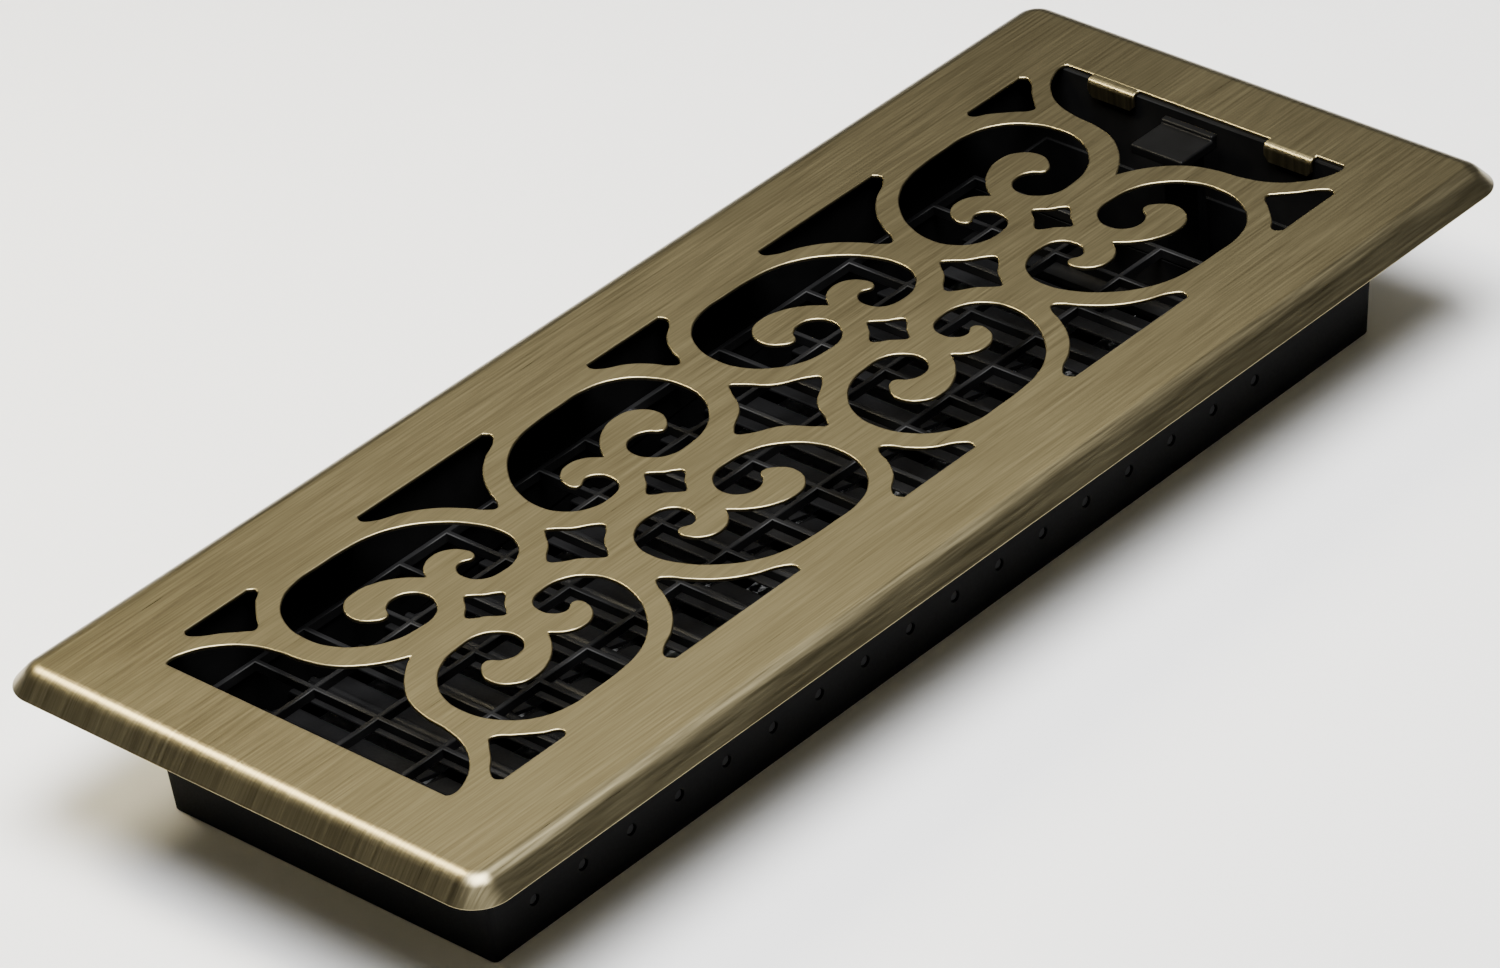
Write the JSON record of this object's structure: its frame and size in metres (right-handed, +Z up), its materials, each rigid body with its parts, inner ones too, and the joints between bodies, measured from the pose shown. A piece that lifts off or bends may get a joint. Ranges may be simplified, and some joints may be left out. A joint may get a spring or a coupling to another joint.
{
  "type": "louvred air grille",
  "caption": "Pierced scroll-pattern floor register: a stamped brass-finished faceplate over a black louvred damper box, shut and opened by a sliding thumb lever.",
  "frame": {"origin": "centre of the damper box's bottom edge plane, below the middle of the faceplate", "axes": "+X along the register toward the thumb lever, +Y across it, +Z up out of the floor"},
  "size_m": [0.348, 0.1434, 0.042],
  "materials": {
    "antique_brass": "brushed antique brass, satin",
    "case_plastic": "matte black",
    "louvre_plastic": "satin black",
    "lever_plastic": "satin black"
  },
  "bodies": {
    "frame": {"faceplate": "antique_brass", "damper_box": "case_plastic", "guard_grid": "louvre_plastic"},
    "slider": {"link_bar": "lever_plastic", "thumb_lever": "lever_plastic"},
    "blade_01": {"louvre_blade_01": "louvre_plastic"},
    "blade_02": {"louvre_blade_02": "louvre_plastic"},
    "blade_03": {"louvre_blade_03": "louvre_plastic"},
    "blade_04": {"louvre_blade_04": "louvre_plastic"},
    "blade_05": {"louvre_blade_05": "louvre_plastic"},
    "blade_06": {"louvre_blade_06": "louvre_plastic"},
    "blade_07": {"louvre_blade_07": "louvre_plastic"},
    "blade_08": {"louvre_blade_08": "louvre_plastic"},
    "blade_09": {"louvre_blade_09": "louvre_plastic"},
    "blade_10": {"louvre_blade_10": "louvre_plastic"},
    "blade_11": {"louvre_blade_11": "louvre_plastic"},
    "blade_12": {"louvre_blade_12": "louvre_plastic"},
    "blade_13": {"louvre_blade_13": "louvre_plastic"},
    "blade_14": {"louvre_blade_14": "louvre_plastic"},
    "blade_15": {"louvre_blade_15": "louvre_plastic"},
    "blade_16": {"louvre_blade_16": "louvre_plastic"},
    "blade_17": {"louvre_blade_17": "louvre_plastic"}
  },
  "joints": [
    {"name": "lever_slide", "type": "slide", "parent": "frame", "child": "slider", "axis": [-1, 0, 0], "range_m": [-0.0006, 0.0058]},
    {"name": "blade_01_tilt", "type": "hinge", "parent": "frame", "child": "blade_01", "pos_m": [-0.1368, 0, 0.0095], "axis": [0, 1, 0], "range_deg": [-7.5, 72.5]},
    {"name": "blade_02_tilt", "type": "hinge", "parent": "frame", "child": "blade_02", "pos_m": [-0.1216, 0, 0.0095], "axis": [0, 1, 0], "range_deg": [-7.5, 72.5]},
    {"name": "blade_03_tilt", "type": "hinge", "parent": "frame", "child": "blade_03", "pos_m": [-0.1064, 0, 0.0095], "axis": [0, 1, 0], "range_deg": [-7.5, 72.5]},
    {"name": "blade_04_tilt", "type": "hinge", "parent": "frame", "child": "blade_04", "pos_m": [-0.0912, 0, 0.0095], "axis": [0, 1, 0], "range_deg": [-7.5, 72.5]},
    {"name": "blade_05_tilt", "type": "hinge", "parent": "frame", "child": "blade_05", "pos_m": [-0.076, 0, 0.0095], "axis": [0, 1, 0], "range_deg": [-7.5, 72.5]},
    {"name": "blade_06_tilt", "type": "hinge", "parent": "frame", "child": "blade_06", "pos_m": [-0.0608, 0, 0.0095], "axis": [0, 1, 0], "range_deg": [-7.5, 72.5]},
    {"name": "blade_07_tilt", "type": "hinge", "parent": "frame", "child": "blade_07", "pos_m": [-0.0456, 0, 0.0095], "axis": [0, 1, 0], "range_deg": [-7.5, 72.5]},
    {"name": "blade_08_tilt", "type": "hinge", "parent": "frame", "child": "blade_08", "pos_m": [-0.0304, 0, 0.0095], "axis": [0, 1, 0], "range_deg": [-7.5, 72.5]},
    {"name": "blade_09_tilt", "type": "hinge", "parent": "frame", "child": "blade_09", "pos_m": [-0.0152, 0, 0.0095], "axis": [0, 1, 0], "range_deg": [-7.5, 72.5]},
    {"name": "blade_10_tilt", "type": "hinge", "parent": "frame", "child": "blade_10", "pos_m": [0, 0, 0.0095], "axis": [0, 1, 0], "range_deg": [-7.5, 72.5]},
    {"name": "blade_11_tilt", "type": "hinge", "parent": "frame", "child": "blade_11", "pos_m": [0.0152, 0, 0.0095], "axis": [0, 1, 0], "range_deg": [-7.5, 72.5]},
    {"name": "blade_12_tilt", "type": "hinge", "parent": "frame", "child": "blade_12", "pos_m": [0.0304, 0, 0.0095], "axis": [0, 1, 0], "range_deg": [-7.5, 72.5]},
    {"name": "blade_13_tilt", "type": "hinge", "parent": "frame", "child": "blade_13", "pos_m": [0.0456, 0, 0.0095], "axis": [0, 1, 0], "range_deg": [-7.5, 72.5]},
    {"name": "blade_14_tilt", "type": "hinge", "parent": "frame", "child": "blade_14", "pos_m": [0.0608, 0, 0.0095], "axis": [0, 1, 0], "range_deg": [-7.5, 72.5]},
    {"name": "blade_15_tilt", "type": "hinge", "parent": "frame", "child": "blade_15", "pos_m": [0.076, 0, 0.0095], "axis": [0, 1, 0], "range_deg": [-7.5, 72.5]},
    {"name": "blade_16_tilt", "type": "hinge", "parent": "frame", "child": "blade_16", "pos_m": [0.0912, 0, 0.0095], "axis": [0, 1, 0], "range_deg": [-7.5, 72.5]},
    {"name": "blade_17_tilt", "type": "hinge", "parent": "frame", "child": "blade_17", "pos_m": [0.1064, 0, 0.0095], "axis": [0, 1, 0], "range_deg": [-7.5, 72.5]}
  ],
  "couplings": [
    {"joint": "blade_01_tilt", "follows": "lever_slide", "rad_per_m": 217.22},
    {"joint": "blade_02_tilt", "follows": "lever_slide", "rad_per_m": 217.22},
    {"joint": "blade_03_tilt", "follows": "lever_slide", "rad_per_m": 217.22},
    {"joint": "blade_04_tilt", "follows": "lever_slide", "rad_per_m": 217.22},
    {"joint": "blade_05_tilt", "follows": "lever_slide", "rad_per_m": 217.22},
    {"joint": "blade_06_tilt", "follows": "lever_slide", "rad_per_m": 217.22},
    {"joint": "blade_07_tilt", "follows": "lever_slide", "rad_per_m": 217.22},
    {"joint": "blade_08_tilt", "follows": "lever_slide", "rad_per_m": 217.22},
    {"joint": "blade_09_tilt", "follows": "lever_slide", "rad_per_m": 217.22},
    {"joint": "blade_10_tilt", "follows": "lever_slide", "rad_per_m": 217.22},
    {"joint": "blade_11_tilt", "follows": "lever_slide", "rad_per_m": 217.22},
    {"joint": "blade_12_tilt", "follows": "lever_slide", "rad_per_m": 217.22},
    {"joint": "blade_13_tilt", "follows": "lever_slide", "rad_per_m": 217.22},
    {"joint": "blade_14_tilt", "follows": "lever_slide", "rad_per_m": 217.22},
    {"joint": "blade_15_tilt", "follows": "lever_slide", "rad_per_m": 217.22},
    {"joint": "blade_16_tilt", "follows": "lever_slide", "rad_per_m": 217.22},
    {"joint": "blade_17_tilt", "follows": "lever_slide", "rad_per_m": 217.22}
  ]
}
